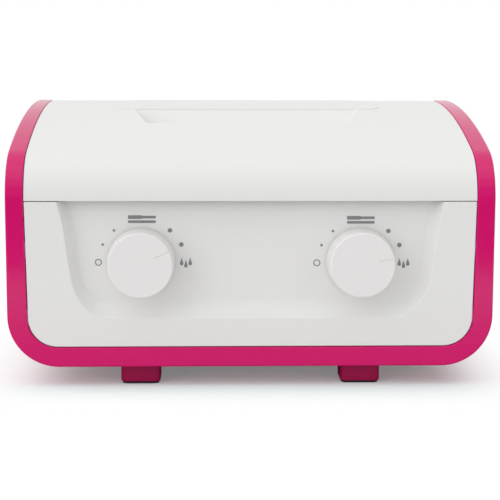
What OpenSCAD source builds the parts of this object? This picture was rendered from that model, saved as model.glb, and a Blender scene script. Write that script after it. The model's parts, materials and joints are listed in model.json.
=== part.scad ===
// Double wax warmer: a rose shell with two hollow cheeks, a pale front panel with two knobs,
// a hinged lid over two heating wells, and two wax pots that lift out by their bails.
// Millimetres. X runs across the object, Y from the front to the rear, Z up from the table.

/* [Body] */
// Overall width across the two cheeks
body_w = 341; // [335:1:347]
// Depth from the front rim to the rear rim
body_d = 236; // [234:1:240]
// Width of each cheek, seen from the front
cheek_w = 12.5; // [12:0.5:13.5]
// Thickness of the moulded walls
wall = 3; // [2.6:0.1:3]
// Height of the rose rim below the front panel
rim_h = 14; // [13:0.5:15]
// Outer radius of the two bottom corners
corner_r = 36; // [34:1:39]
// Radius of the lower corners of the front panel
panel_corner_r = 21; // [19:1:23]
// Gap between the cheeks and what stands between them
gap = 0.5; // [0.4:0.1:0.9]

/* [Feet] */
// Height of the shell above the table
foot_h = 14; // [12:0.5:16]
// Width of one foot
foot_w = 28; // [24:1:32]
// Distance of each foot from the middle
foot_x = 78; // [70:1:86]
// Thickness of the rubber pads
pad_t = 1.5; // [1:0.5:3]

/* [Lid] */
// Radius of the knee between the upright front and the sloping top
knee_r = 36.5; // [35:0.5:38]
// Slope of the lid just behind the knee, in degrees
top_slope = 18; // [17:0.5:18.5]
// Radius of the knee at the rear
rear_r = 32; // [30:0.5:34]
// Thickness of the lid
lid_t = 2.5; // [2.2:0.1:2.8]
// Width of the grip plate on the lid
grip_w = 210; // [190:2:220]
// Height of the grip plate above the lid
grip_rise = 0.9; // [0.6:0.1:1.2]

/* [Controls] */
// Distance of each knob from the middle
knob_x = 77; // [75:1:80]
// Height of the knob axis above the table
knob_z = 87.6; // [86:0.1:90]
// Radius of a knob at its rear edge
knob_r = 24; // [23.5:0.1:25]
// Radius of a knob at its front edge
knob_front_r = 22.6; // [21.5:0.1:23.4]
// How far a knob stands in front of the front rim
knob_reach = 11.5; // [10:0.5:13]
// Direction of the pointer of the left knob, in degrees above level
left_pointer = 26; // [-20:1:40]
// Direction of the pointer of the right knob, in degrees above level
right_pointer = 12; // [-20:1:40]
// Depth of the sunk field that holds the knobs
recess_depth = 9; // [8:0.5:10]

/* [Wells and pots] */
// Distance of each well from the middle
well_x = 76; // [75:0.5:77]
// Distance of the wells from the front rim
well_y = 138; // [136:1:139]
// Outer radius of a pot
pot_r = 57; // [56:0.5:57.5]
// Reach of a bail from its pivots
bail_reach = 57; // [54:1:58]

/* [Hinges] */
// Distance of each hinge from the middle
hinge_x = 95; // [85:1:105]
// Radius of the hinge pins
pin_r = 1.5; // [1.3:0.1:1.8]
// Radial clearance of what turns
running_gap = 0.05; // [0.03:0.01:0.08]

/* [Hidden] */
$fn = 64;

rose = [0.84, 0.06, 0.41];
pearl = [0.93, 0.93, 0.92];
steel = [0.72, 0.73, 0.75];
alloy = [0.80, 0.81, 0.82];
black = [0.08, 0.08, 0.08];

// Heights of the body
knee_z = foot_h + 116;
lid_z = knee_z + 1.3;
panel_top = lid_z - 0.6;
opening_z = foot_h + rim_h;
reach_z = 260;

// The top of the body is one large arc that meets the knee and lies level at the crest
crest_y = body_d - rear_r;
top_r = (crest_y - knee_r) / sin(top_slope) + knee_r;
top_z = knee_z - (top_r - knee_r) * cos(top_slope);
crest_z = top_z + top_r;
rear_z = crest_z - rear_r;

// Above this height the outer faces of the cheeks lean in along a large arc
lean_z = foot_h + 146;
lean_r = 500;

// Inner faces of the cheeks, which close in a little towards the bottom
opening_half = body_w / 2 - cheek_w;
opening_low = opening_half - 1.5;

// Distance from the front rim to the middle of the object, with knobs and hinges counted
knuckle_r = pin_r + 2.7;
hinge_y = body_d + 4.3;
hinge_z = lid_z - 0.3;
knuckle_half = 8;
knuckle_gap = 0.3;
knuckle_outer = knuckle_half + knuckle_gap + 8;
front_y = -(hinge_y + knuckle_r - knob_reach) / 2;

// Cheek liners and the panels between them
liner_t = 2.5;
panel_front = 0.5;
panel_t = 3;
rear_face = body_d - 0.6;
recess_floor = panel_front + recess_depth;
recess_back = recess_floor + 2.5;
lug_zs = [foot_h + 36, foot_h + 83];
lug_half = 5;
lug_in = opening_half - 8.5;
boss_depth = 11;

// Deck under the lid and the shield under the wells
deck_z = foot_h + 98;
deck_t = 3;
deck_top = deck_z + deck_t;
shield_z = foot_h + 20;
shield_t = 1;
shield_top = shield_z + shield_t;
shield_post_x = opening_half - 18;
shield_post_ys = [30, body_d - 30];
deck_screw_ys = [60, 138, 205];
bumper_y = 22;

// Places of the feet along the depth, and of the screws of the liners
foot_ys = [21, body_d - 21];
liner_screw_places = [[60, foot_h + 56], [body_d / 2, deck_top + 7], [body_d - 56, foot_h + 56]];

// Lid and its finger well
lid_half = opening_half - gap;
lid_inset = 0.5;
finger_floor_z = foot_h + 158;
finger_ys = [83, 138.6];
finger_rear_y = 112;

// Wells
well_t = 1.5;
well_r = pot_r + 4;
well_floor = shield_z + 4;
gasket_t = 1;
flange_z = deck_top + gasket_t;
flange_r = well_r + 5;
stud_r = 2;
band_z = well_floor + 10;
band_h = 30;
band_t = 1.9;
sleeve_r = well_r + 9;
window_half = 22;

// Pots and bails
pot_t = 1.2;
pot_floor = well_floor + 4;
rim_z = flange_z + well_t + 0.1;
rim_t = 1.7;
rim_r = pot_r + 5.5;
bail_r = 1.5;
bail_half = pot_r + 9.5;
bail_bend = 30;
pivot_z = rim_z + 5.6;
ear_r = 5;
ear_t = 1.5;

// Thermostats and knobs
shaft_r = 3;
neck_r = 5;
knob_back = recess_floor - 1;
knob_edge = 1;
hub_r = 6.5;
hub_back = 5.5;

// Grip plate, with its front edge behind the finger well
grip_ys = [136, crest_y + 2];
grip_front_r = 12;
grip_rear_r = 32;
grip_sink = 1.2;
grip_screw_x = grip_w / 3;
grip_screw_y = 160;

screw_r = 1.5;
screw_head_r = 2.8;
screw_head_h = 2;
screw_gap = 0.05;

// Cord gland and terminal block at the middle of the rear
gland_z = foot_h + 48;
gland_r = 6.9;
gland_bore = 3.8;
block_y = body_d - 32;
terminal_xs = [-15, -5, 5, 15];

function polar(centre, r, angle) = centre + r * [cos(angle), sin(angle)];

// Lays the model out about the middle of its base
module placed() translate([0, front_y, 0]) children();

// Extrudes a side view, drawn with depth to the right and height up, across the object
module across(x0, x1) translate([x0, 0, 0]) rotate([90, 0, 90]) linear_extrude(x1 - x0) children();

// Extrudes a front view from one depth to another
module deep(y0, y1) translate([0, y1, 0]) rotate([90, 0, 0]) linear_extrude(y1 - y0) children();

// A block between two corners
module block(low, high) translate(low) cube(high - low);

// The same piece at the left and at the right
module both_sides() {
    children();
    mirror([1, 0, 0]) children();
}

// A cylinder along the depth, from one depth to another
module rod_y(x, z, y0, y1, r, sides = 64) {
    translate([x, y1, z]) rotate([90, 0, 0]) cylinder(r = r, h = y1 - y0, $fn = sides);
}

// A cylinder across the object, from one side position to another
module rod_x(y, z, x0, x1, r) translate([x0, y, z]) rotate([0, 90, 0]) cylinder(r = r, h = x1 - x0);

// A round bar between any two points
module rod(p, q, r) {
    way = q - p;
    length = norm(way);
    tilt = acos(way[2] / length);
    translate(p) rotate([0, tilt, atan2(way[1], way[0])]) cylinder(r = r, h = length, $fn = 16);
}

// A bent wire through a list of points
module wire(points, r) {
    for (i = [0 : len(points) - 2]) rod(points[i], points[i + 1], r);
    for (i = [1 : len(points) - 2]) translate(points[i]) sphere(r * 1.04, $fn = 16);
}

function unit(v) = v / norm(v);

// Direction of a route at one of its points
function heading(points, i) =
    i == 0 ? unit(points[1] - points[0])
    : i == len(points) - 1 ? unit(points[i] - points[i - 1])
    : unit(unit(points[i] - points[i - 1]) + unit(points[i + 1] - points[i]));

// A normal of the route, carried along it without twist
function side_vector(points, i) =
    let (way = heading(points, i), last = i == 0 ? [0.9, 0.1, 0.4] : side_vector(points, i - 1))
    unit(last - (last * way) * way);

// A lead swept along a route, with a ring of eight points at each bend
module lead(points, r) {
    sides = 8;
    last = (len(points) - 1) * sides;
    rings = [
        for (i = [0 : len(points) - 1])
            let (u = side_vector(points, i), v = cross(heading(points, i), u))
            for (k = [0 : sides - 1]) points[i] + r * (cos(k * 45) * u + sin(k * 45) * v)
    ];
    skin = [
        for (i = [0 : len(points) - 2], k = [0 : sides - 1])
            let (a = i * sides + k, b = i * sides + (k + 1) % sides)
            each [[a, a + sides, b + sides], [a, b + sides, b]]
    ];
    ends = [[for (k = [0 : sides - 1]) k], [for (k = [sides - 1 : -1 : 0]) last + k]];
    polyhedron(rings, concat(skin, ends), convexity = 6);
}

// A screw with its point at the origin and its crossed head on top
module screw(length) {
    cylinder(r = screw_r, h = length, $fn = 32);
    difference() {
        translate([0, 0, length]) cylinder(r = screw_head_r, h = screw_head_h, $fn = 32);
        for (turn = [0, 90]) {
            translate([0, 0, length + screw_head_h]) rotate(turn) cube([3.6, 0.9, 1.8], center = true);
        }
    }
}

// The hole that a screw sits in
module screw_hole(length) cylinder(r = screw_r + screw_gap, h = length, $fn = 32);

// Side view of the body: upright front, knee, long arc, rear knee and upright rear
module side_outline(inset = 0, low = foot_h) {
    knee = [knee_r, knee_z];
    intersection() {
        union() {
            translate([inset, 0]) square([body_d - 2 * inset, knee_z]);
            translate(knee) circle(knee_r - inset, $fn = 96);
            translate(knee) square([body_d - inset - knee_r, rear_z - knee_z]);
            translate([crest_y, rear_z]) circle(rear_r - inset, $fn = 96);
            intersection() {
                translate([crest_y, top_z]) circle(top_r - inset, $fn = 360);
                polygon([knee, polar(knee, 60, 90 + top_slope), [crest_y, reach_z], [crest_y, knee_z]]);
            }
        }
        translate([-1, low]) square([body_d + 2, reach_z]);
    }
}

// Front view of the rose shell
module shell_outline(inset = 0) {
    half = body_w / 2 - inset;
    corner_x = body_w / 2 - corner_r;
    corner_z = foot_h + corner_r;
    lean_x = body_w / 2 - lean_r;
    translate([-half, corner_z]) square([2 * half, lean_z - corner_z]);
    translate([-corner_x, foot_h + inset]) square([2 * corner_x, corner_r + 10]);
    for (side = [-1, 1]) translate([side * corner_x, corner_z]) circle(corner_r - inset, $fn = 96);
    intersection() {
        translate([-half, lean_z]) square([2 * half, reach_z - lean_z]);
        translate([lean_x, lean_z]) circle(lean_r - inset, $fn = 360);
        translate([-lean_x, lean_z]) circle(lean_r - inset, $fn = 360);
    }
}

// Front view of the opening between the cheeks, which the panels and the lid fill
module opening_outline(inset = 0, top = reach_z) {
    corner_x = opening_low - panel_corner_r;
    corner_z = opening_z + panel_corner_r;
    high = opening_half - inset;
    low = opening_low - inset;
    intersection() {
        union() {
            polygon([
                [-low, corner_z], [low, corner_z], [high, knee_z], [high, reach_z],
                [-high, reach_z], [-high, knee_z]
            ]);
            translate([-corner_x, opening_z + inset]) square([2 * corner_x, panel_corner_r]);
            for (side = [-1, 1]) {
                translate([side * corner_x, corner_z]) circle(panel_corner_r - inset, $fn = 96);
            }
        }
        translate([-body_w, 0]) square([2 * body_w, top]);
    }
}

module shell_solid(inset) {
    intersection() {
        across(-body_w / 2, body_w / 2) side_outline(inset, foot_h + inset);
        deep(-1, body_d + 1) shell_outline(inset);
    }
}

module outer_shell() color(rose) placed() {
    difference() {
        shell_solid(0);
        shell_solid(wall);
        deep(-1, body_d + 1) opening_outline();
        for (x = [-foot_x, foot_x], y = foot_ys) {
            translate([x, y, foot_h - 1]) screw_hole(wall + 2);
        }
        for (side = [-1, 1], i = [-3 : 3]) {
            x = side * well_x + i * 10;
            block([x - 1.5, 100, foot_h - 1], [x + 1.5, 176, foot_h + wall + 1]);
        }
    }
    // Posts that carry the heat shield
    for (x = [-shield_post_x, shield_post_x], y = shield_post_ys) difference() {
        translate([x, y, foot_h + wall - 0.2]) cylinder(r = 4, h = shield_z - foot_h - wall + 0.2, $fn = 32);
        translate([x, y, shield_z - 9]) screw_hole(10);
    }
    // Bosses inside the cheeks for the screws of the liners
    both_sides() for (place = liner_screw_places) difference() {
        rod_x(place[0], place[1], opening_half + liner_t + 0.1, body_w / 2 - wall + 0.4, 4);
        rod_x(place[0], place[1], opening_half, body_w / 2 - wall - 0.6, screw_r + screw_gap);
    }
}

module liner() {
    outer = opening_half + liner_t;
    difference() {
        union() {
            across(opening_half, outer) side_outline(wall + 0.05, foot_h + 26);
            // Ledge under the deck
            block([opening_half - 7, recess_back + 2, deck_z - 3], [opening_half + 0.1, body_d - 8, deck_z]);
            // Bosses for the screws of the rear panel
            for (z = lug_zs) {
                block([lug_in - 1, rear_face - panel_t - boss_depth, z - lug_half],
                      [opening_half + 0.1, rear_face - panel_t, z + lug_half]);
            }
        }
        for (z = lug_zs) {
            rod_x(10, z, opening_half - 1, outer + 1, screw_r + screw_gap);
            rod_y(lug_in + 3, z, rear_face - panel_t - 10, rear_face, screw_r + screw_gap);
        }
        for (place = liner_screw_places) {
            rod_x(place[0], place[1], opening_half - 1, outer + 1, screw_r + screw_gap);
        }
        for (y = deck_screw_ys) translate([opening_half - 4, y, deck_z - 5]) screw_hole(6);
    }
}

module left_cheek_liner() color(pearl) placed() mirror([1, 0, 0]) liner();

module right_cheek_liner() color(pearl) placed() liner();

// The sunk field of the front panel, grown outwards for the back of its walls
module recess(grow, top) {
    low_front = foot_h + 34.5 - grow;
    low_back = foot_h + 43.5 - grow;
    front = grow > 0 ? panel_front + 1 : panel_front - 0.6;
    back = recess_floor + grow;
    levels = [[front, 123.4, 134.8, low_front, 24], [back - 0.01, 114.6, 129, low_back, 24]];
    hull() for (level = levels) {
        r = level[4];
        for (side = [-1, 1]) {
            rod_y(side * (level[1] + grow - r), level[3] + r, level[0], level[0] + 0.01, r, 32);
            translate([side * (level[2] + grow) - 0.05, level[0], top - 0.1]) cube([0.1, 0.01, 0.1]);
        }
    }
}

module front_panel() color(pearl) placed() {
    difference() {
        union() {
            deep(panel_front, panel_front + panel_t) opening_outline(gap, panel_top);
            recess(2.5, panel_top);
            both_sides() for (z = lug_zs) {
                block([lug_in, panel_front + panel_t - 0.1, z - lug_half],
                      [opening_half - 0.1, 16, z + lug_half]);
            }
        }
        recess(0, panel_top + 0.1);
        for (x = [-knob_x, knob_x]) rod_y(x, knob_z, 0, 20, neck_r + 0.15);
        both_sides() for (z = lug_zs) rod_x(10, z, lug_in - 1, opening_half, screw_r + screw_gap);
    }
}

module knuckle(x0, x1) {
    rod_x(hinge_y, hinge_z, x0, x1, knuckle_r);
}

module rear_panel() color(pearl) placed() {
    difference() {
        union() {
            deep(rear_face - panel_t, rear_face) opening_outline(gap, panel_top);
            for (side = [-1, 1], part = [-1, 1]) {
                x0 = side * hinge_x + (part < 0 ? -knuckle_outer : knuckle_half + knuckle_gap);
                x1 = x0 + knuckle_outer - knuckle_half - knuckle_gap;
                knuckle(x0, x1);
                block([x0, rear_face - 0.5, hinge_z - knuckle_r], [x1, hinge_y, hinge_z - 0.2]);
            }
        }
        rod_x(hinge_y, hinge_z, -body_w / 2, body_w / 2, pin_r + running_gap);
        rod_y(0, gland_z, rear_face - 5, rear_face + 1, gland_r + 0.1);
        for (side = [-1, 1], i = [-4 : 4]) {
            block([side * well_x + i * 9 - 2, rear_face - 5, foot_h + 64],
                  [side * well_x + i * 9 + 2, rear_face + 1, foot_h + 90]);
        }
        for (x = [-lug_in - 3, lug_in + 3], z = lug_zs) {
            rod_y(x, z, rear_face - 5, rear_face + 1, screw_r + screw_gap);
        }
    }
}

module inner_deck() color(pearl) placed() {
    deck_half = opening_half - 0.3;
    difference() {
        union() {
            block([-deck_half, recess_back + 0.3, deck_z], [deck_half, rear_face - panel_t - 0.3, deck_top]);
            both_sides() {
                block([deck_half - 8, bumper_y - 4, deck_top - 0.1], [deck_half, bumper_y + 4, lid_z - 2.7]);
            }
        }
        for (x = [-well_x, well_x]) {
            translate([x, well_y, deck_z - 1]) cylinder(r = well_r + 0.4, h = deck_t + 2);
        }
        for (x = [-opening_half + 4, opening_half - 4], y = deck_screw_ys) {
            translate([x, y, deck_z - 1]) screw_hole(deck_t + 2);
        }
    }
}

module heat_shield() color(steel) placed() {
    half = opening_half - 8;
    difference() {
        block([-half, 20, shield_z], [half, body_d - 20, shield_top]);
        for (x = [-well_x, well_x]) {
            translate([x, well_y, shield_z - 1]) cylinder(r = stud_r + 0.1, h = 3);
        }
        for (x = [-shield_post_x, shield_post_x], y = shield_post_ys) {
            translate([x, y, shield_z - 1]) screw_hole(3);
        }
    }
}

// Finger well in the lid, with a sloping rear wall and sloping ends
module finger_well(grow, top) {
    front = finger_ys[0] - grow;
    rear = finger_ys[1] + grow;
    floor_z = finger_floor_z - grow;
    hull() {
        for (side = [-1, 1]) {
            translate([side * (70 + grow), 96, floor_z]) cylinder(r = 3, h = 0.1, $fn = 32);
            translate([side * (76 + grow), finger_rear_y + grow, floor_z])
                cylinder(r = 3, h = 0.1, $fn = 32);
            translate([side * (74 + grow), front + 3, top - 6]) cylinder(r = 3, h = 6, $fn = 32);
            translate([side * (84 + grow), rear - 3, top - 0.1]) cylinder(r = 3, h = 0.1, $fn = 32);
        }
    }
}

module lid() color(pearl) placed() {
    inner = lid_inset + lid_t;
    difference() {
        union() {
            difference() {
                across(-lid_half, lid_half) side_outline(lid_inset, lid_z);
                across(-lid_half + lid_t, lid_half - lid_t) side_outline(inner, lid_z - 1);
            }
            intersection() {
                finger_well(lid_t, 190);
                across(-110, 110) side_outline(lid_inset + 0.5, lid_z);
            }
            for (side = [-1, 1]) {
                x = side * hinge_x;
                knuckle(x - knuckle_half, x + knuckle_half);
                block([x - knuckle_half, body_d - lid_inset - 0.5, lid_z],
                      [x + knuckle_half, hinge_y, hinge_z + knuckle_r]);
            }
        }
        finger_well(0, 190);
        grip_outline_solid(lid_inset - 1, lid_inset + grip_sink + 0.05, 0.1);
        for (x = [-grip_screw_x, grip_screw_x]) {
            translate([x, grip_screw_y, 150]) cylinder(r = 3.6, h = 50);
        }
        rod_x(hinge_y, hinge_z, -body_w / 2, body_w / 2, pin_r + running_gap);
    }
}

// The grip plate between two depths below the outline, with rounded corners in plan
module grip_outline_solid(upper, lower, grow) {
    half = grip_w / 2 + grow;
    front = grip_ys[0] - grow;
    rear = grip_ys[1] + grow;
    intersection() {
        difference() {
            across(-half, half) side_outline(upper, lid_z);
            across(-half - 1, half + 1) side_outline(lower, lid_z - 1);
        }
        translate([0, 0, 150]) linear_extrude(60) {
            for (side = [-1, 1]) {
                translate([side * (half - grip_front_r), front + grip_front_r]) circle(grip_front_r);
                translate([side * (half - grip_rear_r), rear - grip_rear_r]) circle(grip_rear_r, $fn = 96);
            }
            translate([-half + grip_front_r, front]) square([2 * (half - grip_front_r), 24]);
            translate([-half, front + grip_front_r]) {
                square([2 * half, rear - front - grip_front_r - grip_rear_r]);
            }
            translate([-half + grip_rear_r, rear - 60]) square([2 * (half - grip_rear_r), 60]);
        }
    }
}

module lid_handle() color(pearl) placed() difference() {
    union() {
        grip_outline_solid(lid_inset - grip_rise, lid_inset + grip_sink, 0);
        for (x = [-grip_screw_x, grip_screw_x]) {
            translate([x, grip_screw_y, crest_z - 6]) cylinder(r = 3.5, h = 4);
        }
    }
    for (x = [-grip_screw_x, grip_screw_x]) {
        translate([x, grip_screw_y, crest_z - 7]) screw_hole(4.5);
    }
}

module lid_handle_screws() color(steel) placed() {
    for (x = [-grip_screw_x, grip_screw_x]) {
        translate([x, grip_screw_y, crest_z - 6]) mirror([0, 0, 1]) translate([0, 0, -3]) screw(3);
    }
}

module lid_bumpers() color(black) placed() both_sides() {
    translate([opening_half - 3, bumper_y, lid_z - 2.7]) cylinder(r = 2.3, h = 2.6);
}

module hinge_pin(side) color(steel) placed() {
    x = side * hinge_x;
    rod_x(hinge_y, hinge_z, x - knuckle_outer - 0.5, x + knuckle_outer + 0.5, pin_r);
    head_x = x + side * (knuckle_outer + 1);
    rod_x(hinge_y, hinge_z, head_x - 0.8, head_x + 0.8, pin_r + 1);
}

module hinge_pin_left() hinge_pin(-1);

module hinge_pin_right() hinge_pin(1);

// A heating well: a deep cup with a flange, and a shoulder and stud under it
module well(side) color(alloy) placed() translate([side * well_x, well_y, 0]) {
    difference() {
        union() {
            translate([0, 0, well_floor]) cylinder(r = well_r, h = flange_z + well_t - well_floor, $fn = 96);
            translate([0, 0, flange_z]) cylinder(r = flange_r, h = well_t, $fn = 96);
        }
        translate([0, 0, well_floor + 2]) cylinder(r = well_r - well_t, h = 200, $fn = 96);
    }
    translate([0, 0, shield_top]) cylinder(r = 6, h = well_floor - shield_top + 0.1);
    translate([0, 0, shield_z - 6]) cylinder(r = stud_r, h = 8, $fn = 32);
}

module well_left() well(-1);

module well_right() well(1);

module well_nuts() color(steel) placed() {
    for (x = [-well_x, well_x]) translate([x, well_y, shield_z - 3.2]) difference() {
        cylinder(r = 4.04, h = 3.2, $fn = 6);
        translate([0, 0, -1]) cylinder(r = stud_r + 0.02, h = 6, $fn = 32);
    }
}

module well_gasket(side) color("firebrick") placed() translate([side * well_x, well_y, deck_top]) {
    difference() {
        cylinder(r = flange_r - 0.3, h = gasket_t, $fn = 96);
        translate([0, 0, -1]) cylinder(r = well_r + 0.6, h = gasket_t + 2, $fn = 96);
    }
}

module well_gasket_left() well_gasket(-1);

module well_gasket_right() well_gasket(1);

// A clamp band with a mica heater, split at the front, with two blade terminals
module heater_band(side) color("darkgoldenrod") placed() translate([side * well_x, well_y, band_z]) {
    difference() {
        cylinder(r = well_r + band_t, h = band_h, $fn = 96);
        translate([0, 0, -1]) cylinder(r = well_r + 0.05, h = band_h + 2, $fn = 96);
        block([-20, -well_r - 5, -1], [-17, -30, band_h + 1]);
    }
    for (x = [-12, -6]) block([x - 2.4, -well_r - 9, 12], [x + 2.4, -well_r - 0.6, 12.8]);
}

module heater_band_left() heater_band(-1);

module heater_band_right() heater_band(1);

// A sleeve of mineral wool, open at the front where the sensor and terminals sit
module insulation(side) color("khaki") placed() translate([side * well_x, well_y, well_floor + 4]) {
    difference() {
        cylinder(r = sleeve_r, h = deck_z - well_floor - 10, $fn = 96);
        translate([0, 0, -1]) cylinder(r = well_r + band_t + 0.4, h = 200, $fn = 96);
        block([-window_half, -sleeve_r - 1, -1], [window_half, -30, 200]);
    }
}

module insulation_left() insulation(-1);

module insulation_right() insulation(1);

// A wax pot: a drawn cup with a rounded foot and a flat rim
module pot(side) color(alloy) placed() translate([side * well_x, well_y, 0]) {
    foot_r = 6;
    difference() {
        union() {
            translate([0, 0, pot_floor + foot_r]) {
                cylinder(r = pot_r, h = rim_z - pot_floor - foot_r + 0.5, $fn = 96);
                rotate_extrude($fn = 96) translate([pot_r - foot_r, 0]) circle(foot_r, $fn = 48);
            }
            translate([0, 0, pot_floor]) cylinder(r = pot_r - foot_r, h = foot_r + 1, $fn = 96);
            translate([0, 0, rim_z]) cylinder(r = rim_r, h = rim_t, $fn = 96);
        }
        translate([0, 0, pot_floor + foot_r]) cylinder(r = pot_r - pot_t, h = 200, $fn = 96);
        translate([0, 0, pot_floor + pot_t]) cylinder(r = pot_r - foot_r, h = foot_r + 1, $fn = 96);
        translate([0, 0, pot_floor + foot_r]) {
            rotate_extrude($fn = 96) translate([pot_r - foot_r, 0]) circle(foot_r - pot_t, $fn = 48);
        }
    }
}

module pot_left() pot(-1);

module pot_right() pot(1);

// Two ears spot-welded on the rim of a pot, with the holes for its bail, and a rest behind them
module pot_ears(side) color(alloy) placed() translate([side * well_x, well_y, 0]) {
    base_z = rim_z + rim_t;
    both_sides() difference() {
        union() {
            block([rim_r - 4.2, -ear_r, base_z], [rim_r, ear_r, base_z + 1]);
            block([rim_r - ear_t, -ear_r, base_z], [rim_r, ear_r, pivot_z]);
            rod_x(0, pivot_z, rim_r - ear_t, rim_r, ear_r);
        }
        rod_x(0, pivot_z, rim_r - ear_t - 1, rim_r + 1, bail_r + 0.08);
        translate([-rim_r, -rim_r, base_z - 10]) cube([2 * rim_r, 2 * rim_r, 10]);
    }
    block([-4, pot_r - 0.6, base_z], [4, rim_r - 0.5, pivot_z - bail_r - 0.1]);
}

module pot_ears_left() pot_ears(-1);

module pot_ears_right() pot_ears(1);

// One quarter bend of the bail wire, from along the depth to across
module bail_corner(side) {
    translate([side * (bail_half - bail_bend), bail_reach - bail_bend, 0]) {
        mirror([side < 0 ? 1 : 0, 0, 0]) rotate_extrude(angle = 90, $fn = 96) {
            translate([bail_bend, 0]) circle(bail_r, $fn = 24);
        }
    }
}

// A wire bail, lying back behind its pivots, with turned-in ends that go through the ears
module pot_bail(side) color(steel) placed() translate([side * well_x, well_y, pivot_z]) {
    end_bend = 3;
    pin_in = rim_r - ear_t - 1.4;
    for (s = [-1, 1]) {
        translate([s * bail_half, end_bend, 0]) rotate([-90, 0, 0]) {
            cylinder(r = bail_r, h = bail_reach - bail_bend - end_bend, $fn = 24);
        }
        bail_corner(s);
        translate([s * (bail_half - end_bend), end_bend, 0]) mirror([s < 0 ? 1 : 0, 0, 0]) {
            rotate([0, 0, -90]) rotate_extrude(angle = 90, $fn = 48) {
                translate([end_bend, 0]) circle(bail_r, $fn = 24);
            }
        }
    }
    for (s = [-1, 1]) mirror([s < 0 ? 1 : 0, 0, 0]) {
        rod_x(0, 0, pin_in, bail_half - end_bend, bail_r);
        rod_x(0, 0, pin_in, pin_in + 1, bail_r + 0.7);
    }
    translate([-(bail_half - bail_bend), bail_reach, 0]) rotate([0, 90, 0]) {
        cylinder(r = bail_r, h = 2 * (bail_half - bail_bend), $fn = 24);
    }
}

module pot_bail_left() pot_bail(-1);

module pot_bail_right() pot_bail(1);

// A thermostat behind the panel: plate, case, two blades and the neck that goes through the panel
module thermostat(side) color(steel) placed() {
    x = side * knob_x;
    difference() {
        union() {
            block([x - 18, recess_back, knob_z - 16], [x + 18, recess_back + 1, knob_z + 16]);
            block([x - 15, recess_back + 0.9, knob_z - 13], [x + 15, recess_back + 22, knob_z + 13]);
            rod_y(x, knob_z, recess_floor - 2.6, recess_back + 1, neck_r);
            for (blade = [x - 9, x]) {
                block([blade - 2.4, recess_back + 21.9, knob_z - 8],
                      [blade + 2.4, recess_back + 30, knob_z - 7.2]);
            }
        }
        rod_y(x, knob_z, recess_floor - 4, recess_back + 10, shaft_r + running_gap);
    }
}

module thermostat_left() thermostat(-1);

module thermostat_right() thermostat(1);

module shaft_nut(side) color(steel) placed() difference() {
    rod_y(side * knob_x, knob_z, recess_floor - 2.4, recess_floor, 8.08, 6);
    rod_y(side * knob_x, knob_z, recess_floor - 4, recess_floor + 1, neck_r + 0.02);
}

module shaft_nut_left() shaft_nut(-1);

module shaft_nut_right() shaft_nut(1);

// Turned to the direction of a knob's pointer and seen from the front
module at_knob(side) {
    pointer = side < 0 ? left_pointer : right_pointer;
    translate([side * knob_x, 0, knob_z]) rotate([0, -pointer, 0]) children();
}

// The shaft has a flat for the knob
module thermostat_shaft(side) color(steel) placed() at_knob(side) difference() {
    rod_y(0, 0, -knob_reach + 3, recess_back + 8, shaft_r);
    block([-4, -knob_reach, 2.2], [4, hub_back + 0.5, 4]);
}

module thermostat_shaft_left() thermostat_shaft(-1);

module thermostat_shaft_right() thermostat_shaft(1);

// A knob: a tapered cap with a rounded front edge, a hub with a flat, and a pointer groove
module knob(side) color(pearl) placed() at_knob(side) difference() {
    face_r = knob_front_r - knob_edge;
    taper_l = knob_back + knob_reach - knob_edge;
    union() {
        difference() {
            union() {
                translate([0, knob_back, 0]) rotate([90, 0, 0]) {
                    cylinder(r1 = knob_r, r2 = knob_front_r, h = taper_l, $fn = 96);
                }
                rod_y(0, 0, -knob_reach, knob_back, face_r, 96);
                translate([0, -knob_reach + knob_edge, 0]) rotate([90, 0, 0]) {
                    rotate_extrude($fn = 96) translate([face_r, 0]) circle(knob_edge, $fn = 32);
                }
            }
            rod_y(0, 0, -knob_reach + 3, knob_back + 1, knob_front_r - 2.6, 96);
        }
        rod_y(0, 0, -knob_reach + 2.9, hub_back, hub_r);
    }
    difference() {
        rod_y(0, 0, -knob_reach + 2.9, hub_back + 0.5, shaft_r + 0.03);
        block([-4, -knob_reach, 2.23], [4, 7, 4]);
    }
    block([11, -knob_reach - 1, -0.6], [knob_r + 1, -knob_reach + 0.7, 0.6]);
}

module knob_left() knob(-1);

module knob_right() knob(1);

// A split spring ring that squeezes the hub on the shaft
module knob_clip(side) color(steel) placed() at_knob(side) difference() {
    rod_y(0, 0, 0, 4, hub_r + 0.8);
    rod_y(0, 0, -1, 5, hub_r + 0.02);
    block([-1.5, -1, -9], [1.5, 5, -3]);
}

module knob_clip_left() knob_clip(-1);

module knob_clip_right() knob_clip(1);

// A thermostat bulb on the wall of the well, and its thin tube to the thermostat
module sensor(side) color("peru") placed() {
    x = side * well_x + 12;
    y = well_y - sqrt(pow(well_r + 3.3, 2) - 144);
    top = well_floor + 66;
    translate([x, y, top - 24]) cylinder(r = 3, h = 24, $fn = 32);
    wire([
        [x, y, top - 23], [x, y, band_z + 8], [x, y - 14, band_z + 6],
        [x, y - 24, knob_z - 16], [side * knob_x + 9, recess_back + 27, knob_z - 4],
        [side * knob_x + 9, recess_back + 22.02, knob_z - 4]
    ], 0.8);
}

module sensor_left() sensor(-1);

module sensor_right() sensor(1);

// A cut-out against overheating, strapped to the heating band
module thermal_fuse(side) color("silver") placed() {
    x = side * well_x + 3;
    y = well_y - well_r - band_t - 2.7;
    translate([x, y, band_z + 6]) cylinder(r = 2.5, h = 14, $fn = 32);
    translate([x, y, band_z + 1]) cylinder(r = 0.6, h = 24, $fn = 16);
    block([x - 3.2, y - 0.1, band_z + 11], [x + 3.2, y + 2.4, band_z + 15]);
}

module thermal_fuse_left() thermal_fuse(-1);

module thermal_fuse_right() thermal_fuse(1);

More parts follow.
